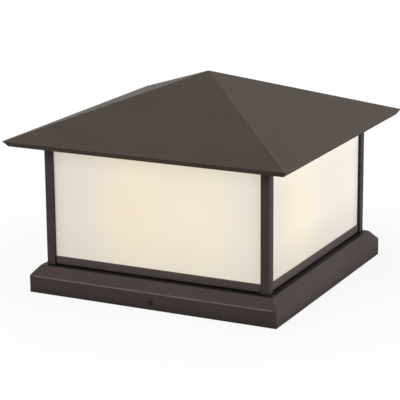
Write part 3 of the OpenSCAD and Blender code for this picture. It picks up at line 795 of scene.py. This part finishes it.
def model_rails(level):
    """An angle rail: a face in front of the pane and a shelf behind it, cut to the corners' mitres."""
    low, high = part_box("right_%s_rail" % level)
    shelf_z = low.z if level == "bottom" else high.z - RAIL_SHEET
    face_end = high.z if level == "bottom" else low.z
    bpy.ops.object.select_all(action="DESELECT")
    bpy.ops.mesh.primitive_plane_add(
        size=RAIL_SHEET, location=(high.x - RAIL_SHEET / 2, low.y, shelf_z + RAIL_SHEET / 2),
        rotation=(math.pi / 2, 0, 0))
    rail = bpy.context.object
    settle(rail)
    edit(rail)
    pane_face = high.x - RAIL_SHEET
    joint_z = shelf_z + RAIL_SHEET if level == "bottom" else shelf_z
    pick(rail, "EDGE", lambda p: near(p.z, joint_z))
    bpy.ops.mesh.extrude_edges_move(TRANSFORM_OT_translate={"value": (0, 0, face_end - joint_z)})
    pick(rail, "EDGE", lambda p: near(p.x, pane_face) and near(p.z, shelf_z + RAIL_SHEET / 2))
    bpy.ops.mesh.extrude_edges_move(TRANSFORM_OT_translate={"value": (low.x - pane_face, 0, 0)})
    bpy.ops.mesh.select_all(action="SELECT")
    bpy.ops.mesh.extrude_region_move(TRANSFORM_OT_translate={"value": (0, high.y - low.y, 0)})
    for across in (1, -1):
        bpy.ops.mesh.select_all(action="SELECT")
        bpy.ops.mesh.bisect(
            plane_co=(0, 0, 0), plane_no=(-1, across, 0), use_fill=True, clear_outer=True, clear_inner=False)
    leave_edit()
    face_outwards(rail)
    round_edges(rail, RAIL_EDGE, segments=2)
    for name, angle in SIDES.items():
        copy = turned_copy(rail, angle)
        finish(
            copy, "%s_%s_angle_rail" % (name, level), "housing", "bronze_powder_coat", LIT_RAIL_COAT,
            "%s_%s_rail" % (name, level))
    bpy.data.objects.remove(rail)


# Panes

GROUND_EDGE = 0.4 * MM

# For each side: where the clouds of light sit along the pane, how far each one spreads, how bright the pane
# is at its two ends, how strongly the clouds stand out from it, and the share of the light that reaches its
# foot.
TWO_LAMPS = ((-32 * MM, 72 * MM), 62 * MM, (0.96, 1.04), 1.0, 0.9)
ONE_LAMP = ((-55 * MM,), 66 * MM, (0.94, 1.16), 0.6, 0.74)
CLOUDS = {"front": TWO_LAMPS, "right": ONE_LAMP, "rear": TWO_LAMPS, "left": ONE_LAMP}


def model_panes():
    """A sheet of glass with ground edges, smooth outside and etched inside."""
    low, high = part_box("right_pane")
    bpy.ops.object.select_all(action="DESELECT")
    bpy.ops.mesh.primitive_cube_add(size=1, location=(low + high) / 2)
    pane = bpy.context.object
    pane.scale = high - low
    settle(pane)
    round_edges(pane, GROUND_EDGE, segments=2)
    for name, angle in SIDES.items():
        copy = turned_copy(pane, angle)
        finish(copy, name + "_glass", "housing", "etched_pane_glass", None, name + "_pane")
        copy.data.materials.append(lit_pane("lit %s glass" % name, angle, *CLOUDS[name]))
        copy.data.materials.append(ETCHED_FACE)
        out = Vector((math.cos(math.radians(angle)), math.sin(math.radians(angle)), 0))
        for face in copy.data.polygons:
            face.material_index = 1 if face.normal.dot(out) < -0.9 else 0
    bpy.data.objects.remove(pane)


# Base screws

HEAD_R = 4.75 * MM
HEAD_H = 2.7 * MM
HEAD_DOME = 2.3 * MM
HEAD_EDGE = 0.12 * MM
SHANK_R = 2.5 * MM
SHANK_LENGTH = 13 * MM
KEY_ACROSS = 3 * MM
KEY_DEPTH = 0.6 * HEAD_H


def model_base_screws():
    """Button head screws: a domed head with a hexagon socket, and a shank that goes through the boss."""
    low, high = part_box("base_screws")
    seat = high.y - HEAD_H
    bpy.ops.object.select_all(action="DESELECT")
    bpy.ops.mesh.primitive_cylinder_add(
        vertices=48, radius=HEAD_R, depth=HEAD_H, location=(seat + HEAD_H / 2, 0, BASE_FACE / 2),
        rotation=(0, math.pi / 2, 0))
    screw = bpy.context.object
    settle(screw)
    edit(screw)
    pick(screw, "FACE", lambda p: near(p.x, seat + HEAD_H))
    bpy.ops.mesh.region_to_loop()
    bpy.ops.mesh.bevel(offset=HEAD_DOME, offset_type="OFFSET", segments=6, affect="EDGES", clamp_overlap=True)
    pick(screw, "FACE", lambda p: near(p.x, seat))
    bpy.ops.mesh.inset(thickness=HEAD_R - SHANK_R)
    bpy.ops.mesh.extrude_region_move(TRANSFORM_OT_translate={"value": (-SHANK_LENGTH, 0, 0)})
    leave_edit()
    bpy.ops.object.select_all(action="DESELECT")
    # The key that cuts the socket is twice as long as the head, and its inner end is the socket's floor.
    bpy.ops.mesh.primitive_cylinder_add(
        vertices=6, radius=KEY_ACROSS / 2 / math.cos(math.radians(30)), depth=2 * HEAD_H,
        location=(seat + 2 * HEAD_H - KEY_DEPTH, 0, BASE_FACE / 2), rotation=(0, math.pi / 2, 0))
    key = bpy.context.object
    settle(key)
    apply_modifier(screw, "BOOLEAN", operation="DIFFERENCE", object=key, solver="EXACT")
    bpy.data.objects.remove(key)
    face_outwards(screw)
    round_edges(screw, HEAD_EDGE, segments=2, angle=35)
    screws = [turned_copy(screw, angle) for angle in (FRONT, REAR)]
    bpy.data.objects.remove(screw)
    finish(join(screws), "button_head_screws", "housing", "black_steel", BLACKENED_STEEL, "base_screws")


# Lamps

GLOBE_GLASS = 1 * MM
# The globe runs down to this angle below its middle, and the neck goes on from there to its foot.
GLOBE_END = math.radians(35)
NECK_R = 12.0 * MM
NECK_FOOT = 4 * MM
NECK_STEPS = 10
# How far each end of the neck keeps its direction, as a share of the neck's height.
NECK_PULL = 0.45


def neck_line(rim_r, rim_z, foot_z, slope):
    """Radius and height of each ring of the neck, which starts along the globe's slope and ends upright."""
    pull = NECK_PULL * (rim_z - foot_z)
    points = (
        Vector((rim_r, rim_z)),
        Vector((rim_r, rim_z)) - Vector((-slope, 1)).normalized() * pull,
        Vector((NECK_R, foot_z + pull)),
        Vector((NECK_R, foot_z)),
    )
    rings = []
    for step in range(1, NECK_STEPS + 1):
        t = step / NECK_STEPS
        weights = ((1 - t) ** 3, 3 * t * (1 - t) ** 2, 3 * t * t * (1 - t), t ** 3)
        rings.append(sum((w * p for w, p in zip(weights, points)), Vector((0, 0))))
    return rings


def model_bulb(side):
    """A globe cut open below and drawn down into its neck."""
    node = side + "_lamp_bulb"
    low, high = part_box(node)
    radius = (high.x - low.x) / 2
    middle = (low + high) / 2
    globe_z = high.z - radius
    bpy.ops.object.select_all(action="DESELECT")
    bpy.ops.mesh.primitive_uv_sphere_add(
        segments=64, ring_count=36, radius=radius, location=(middle.x, 0, globe_z))
    bulb = bpy.context.object
    settle(bulb)
    edit(bulb)
    pick(bulb, "FACE", lambda p: p.z < globe_z - radius * math.sin(GLOBE_END))
    bpy.ops.mesh.delete(type="FACE")
    rims = bmesh.from_edit_mesh(bulb.data)
    ring_z = min(v.co.z for v in rims.verts)
    ring_r = max((v.co.xy - middle.xy).length for v in rims.verts if near(v.co.z, ring_z))
    slope = (ring_z - globe_z) / ring_r
    for ring in neck_line(ring_r, ring_z, low.z + NECK_FOOT, slope):
        pick(bulb, "EDGE", lambda p: near(p.z, ring_z))
        bpy.ops.mesh.extrude_edges_move(TRANSFORM_OT_translate={"value": (0, 0, ring.y - ring_z)})
        bpy.ops.transform.resize(
            value=(ring.x / ring_r, ring.x / ring_r, 1), center_override=(middle.x, 0, ring.y))
        ring_r, ring_z = ring.x, ring.y
    pick(bulb, "EDGE", lambda p: near(p.z, ring_z))
    bpy.ops.mesh.extrude_edges_move(TRANSFORM_OT_translate={"value": (0, 0, low.z - ring_z)})
    leave_edit()
    face_outwards(bulb)
    apply_modifier(bulb, "SOLIDIFY", thickness=GLOBE_GLASS, offset=-1, use_even_offset=True)
    bpy.ops.object.shade_smooth()
    finish(bulb, side + "_lamp_globe", side + "_lamp", "opal_lamp_glass", LIT_OPAL, node)


# Pieces that keep the frame's shape, with their edges broken

def broken_edges(node, name, body, slot, material, width_mm, segments=2):
    """A copy of a node's mesh, merged and cleaned to whole faces, with its sharp edges rounded."""
    piece = cad_nodes[node].copy()
    piece.data = cad_nodes[node].data.copy()
    piece.parent = None
    for key in list(piece.keys()):
        del piece[key]
    bpy.context.scene.collection.objects.link(piece)
    edit(piece)
    bpy.ops.mesh.select_all(action="SELECT")
    bpy.ops.mesh.customdata_custom_splitnormals_clear()
    bpy.ops.mesh.remove_doubles(threshold=TOUCH)
    bpy.ops.mesh.dissolve_limited(angle_limit=math.radians(0.5))
    leave_edit()
    round_edges(piece, width_mm * MM, segments, angle=30)
    finish(piece, name, body, slot, material, node)


def model_inner_pieces():
    """Breaks the edges of these nodes, each listed with its piece, its body and the edges' width in mm."""
    zinc = (
        ("mounting_plate", "anchored_pan", "pier_mount", 0.4),
        ("tray_standoffs", "hexagon_standoffs", "pier_mount", 0.3),
        ("tray_nuts", "hexagon_nuts", "pier_mount", 0.3),
        ("holder_screws", "lamp_holder_screws", "pier_mount", 0.15),
        ("glass_clips", "spring_clips", "housing", 0.15),
        ("clip_screws", "spring_clip_screws", "housing", 0.12),
        ("foot_screws", "post_foot_screws", "housing", 0.15),
        ("roof_screws", "roof_ring_screws", "housing", 0.15),
    )
    for node, name, body, width_mm in zinc:
        broken_edges(node, name, body, "zinc_plated_steel", ZINC_PLATE, width_mm)
    others = (
        ("lamp_tray", "reflector_tray", "pier_mount", "white_painted_steel", REFLECTOR_PAINT, 0.4),
        ("roof_ring", "welded_roof_ring", "housing", "bronze_powder_coat", POWDER_COAT, 0.4),
        ("roof_seal", "foam_roof_seal", "housing", "foam_rubber", FOAM, 0.4),
        ("pier_gasket", "foam_pier_gasket", "pier_mount", "foam_rubber", FOAM, 0.6),
        ("terminal_block", "lead_terminals", "pier_mount", "ivory_plastic", IVORY_PLASTIC, 0.5),
        ("earth_screw", "green_earth_screw", "pier_mount", "green_painted_steel", EARTH_GREEN, 0.15),
        ("left_lamp_holder", "left_porcelain_holder", "pier_mount", "white_porcelain", PORCELAIN, 0.7, 3),
        ("right_lamp_holder", "right_porcelain_holder", "pier_mount", "white_porcelain", PORCELAIN, 0.7, 3),
    )
    for piece in others:
        broken_edges(*piece)


def finish_cad_nodes():
    """Nodes whose shape is right as it is only get their real finish."""
    finishes = {
        "left_screw_shell": BRASS, "right_screw_shell": BRASS, "centre_contacts": BRASS,
        "left_lamp_cap": BRASS, "right_lamp_cap": BRASS,
        "left_lamp_tip": ZINC_PLATE, "right_lamp_tip": ZINC_PLATE,
        "left_lamp_insulator": BLACK_VITRITE, "right_lamp_insulator": BLACK_VITRITE,
        "lamp_leads": SLEEVE,
    }
    for name, material in finishes.items():
        node = cad_nodes[name]
        node.data.materials.clear()
        node.data.materials.append(material)


# Stage

FLOOR_SIZE = 12
# The share of the floor's white that no shadow can darken, and how far out the shadows fade.
FLOOR_GLOW = 0.9
SHADOW_NEAR = 0.25
SHADOW_FAR = 0.5
# The paint mirrors the floor with its real shadows in it.
MIRROR_GLOW = 0.25

WORLD_FILL = 0.05
SOFTBOX_SIZE = 1.3
AIM = Vector((0, 0, 0.12))
# Each softbox with its place in metres and its power in watts.
SOFTBOXES = (
    ("left softbox", (-0.76, -2.09, 1.26), 38),
    ("right softbox", (2.44, 0.1, 0.64), 45),
    ("rear softbox", (-0.36, 0.78, 2.47), 6),
)


def make_stage():
    """A pale floor that is white where it is seen, and keeps a faint shadow."""
    bpy.ops.object.select_all(action="DESELECT")
    bpy.ops.mesh.primitive_plane_add(size=FLOOR_SIZE, location=(0, 0, 0))
    floor = bpy.context.object
    floor.name = "studio_floor"
    material = bpy.data.materials.new("pale studio floor")
    material.use_nodes = True
    tree = material.node_tree
    tree.nodes.clear()
    white = add_node(tree, "Emission", {"Color": (1, 1, 1, 1), "Strength": 1.0})
    rays = add_node(tree, "LightPath").outputs
    mirrored = add_node(
        tree, "Math", {0: rays["Is Glossy Ray"], 1: rays["Is Transmission Ray"]}, operation="MAXIMUM")
    seen = add_node(tree, "Math", {0: rays["Is Camera Ray"], 1: mirrored.outputs[0]}, operation="MAXIMUM")
    # White where it is seen, and grey where it throws light back, so that the eaves stay dark underneath.
    shade = add_node(
        tree, "Mix", {SHARE: seen.outputs[0], COLOUR_A: colour("#807e7b"), COLOUR_B: colour("#f4f3f1")},
        data_type="RGBA")
    matt = add_node(tree, "BsdfDiffuse", {"Color": shade.outputs[MIXED_COLOUR]})
    # Shadows fall near the light; further off the floor runs into the white background.
    place = add_node(tree, "TexCoord").outputs["Object"]
    away = add_node(tree, "VectorMath", {0: place}, operation="LENGTH")
    glow = add_node(tree, "MapRange", {
        "Value": away.outputs["Value"], "From Min": SHADOW_NEAR, "From Max": SHADOW_FAR,
        "To Min": FLOOR_GLOW, "To Max": 1.0})
    share = add_node(tree, "Math", {0: rays["Is Camera Ray"], 1: glow.outputs[0]}, operation="MULTIPLY")
    share = add_node(
        tree, "Math", {0: mirrored.outputs[0], 1: MIRROR_GLOW, 2: share.outputs[0]}, operation="MULTIPLY_ADD")
    both = add_node(tree, "MixShader", {0: share.outputs[0], 1: matt.outputs[0], 2: white.outputs[0]})
    add_node(tree, "OutputMaterial", {"Surface": both.outputs[0]})
    floor.data.materials.append(material)


def light_scene():
    """A white surround that lights little by itself, and three softboxes."""
    world = bpy.data.worlds.new("Studio")
    bpy.context.scene.world = world
    world.use_nodes = True
    tree = world.node_tree
    tree.nodes.clear()
    fill = add_node(tree, "Background", {"Color": colour("#f4f2f0"), "Strength": WORLD_FILL})
    white = add_node(tree, "Background", {"Color": (1, 1, 1, 1), "Strength": 1.0})
    rays = add_node(tree, "LightPath").outputs
    seen = add_node(tree, "Math", {0: rays["Is Camera Ray"], 1: rays["Is Glossy Ray"]}, operation="MAXIMUM")
    seen = add_node(tree, "Math", {0: seen.outputs[0], 1: rays["Is Transmission Ray"]}, operation="MAXIMUM")
    both = add_node(tree, "MixShader", {0: seen.outputs[0], 1: fill.outputs[0], 2: white.outputs[0]})
    add_node(tree, "OutputWorld", {"Surface": both.outputs[0]})
    for name, place, power in SOFTBOXES:
        data = bpy.data.lights.new(name, "AREA")
        data.size = SOFTBOX_SIZE
        data.energy = power
        lamp = bpy.data.objects.new(name, data)
        bpy.context.scene.collection.objects.link(lamp)
        lamp.location = place
        lamp.rotation_euler = (AIM - Vector(place)).to_track_quat("-Z", "Y").to_euler()


place_camera()
model_roof()
model_base()
model_posts()
model_rails("bottom")
model_rails("top")
model_panes()
model_base_screws()
model_bulb("left")
model_bulb("right")
model_inner_pieces()
finish_cad_nodes()
make_stage()
light_scene()

bpy.context.scene.view_settings.view_transform = "Standard"
